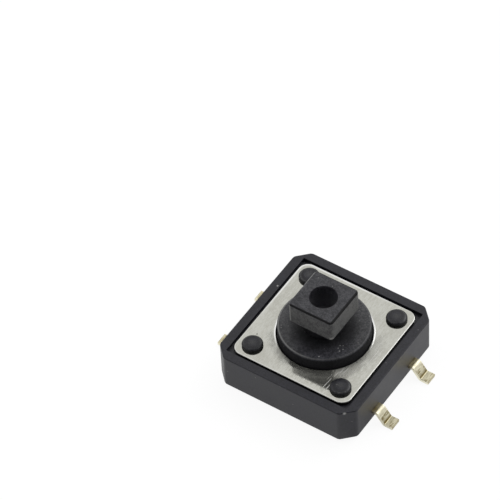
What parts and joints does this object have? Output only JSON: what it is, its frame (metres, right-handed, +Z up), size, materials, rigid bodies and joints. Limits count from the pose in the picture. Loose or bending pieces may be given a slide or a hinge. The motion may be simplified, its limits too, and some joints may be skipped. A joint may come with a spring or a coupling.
{
  "type": "tactile push button switch",
  "caption": "Square surface mount push button switch with a round collar, a square head for a cap and gull-wing leads.",
  "frame": {"origin": "middle of the switch, on the board that the leads' feet stand on", "axes": "+X along the leads of one side, +Y along that side of the base, +Z up out of the board along the plunger"},
  "size_m": [0.0154, 0.012, 0.0073],
  "materials": {
    "housing_plastic": "black moulded nylon, satin",
    "plunger_plastic": "black moulded plastic, matt with a fine grain",
    "cover_steel": "satin steel, lightly marked",
    "dome_steel": "bright spring steel",
    "terminal_plating": "brass with a thin, warm silver plating"
  },
  "bodies": {
    "housing": {"base": "housing_plastic", "cover_plate": "cover_steel", "snap_dome": "dome_steel", "terminal_common": "terminal_plating", "terminal_centre": "terminal_plating"},
    "plunger": {"plunger": "plunger_plastic"}
  },
  "joints": [
    {"name": "plunger_press", "type": "slide", "parent": "housing", "child": "plunger", "axis": [0, 0, -1], "range_m": [0, 0.0003], "stiffness_N_per_m": 4000, "springref_m": -0.0003, "deforming": ["snap_dome"]}
  ]
}
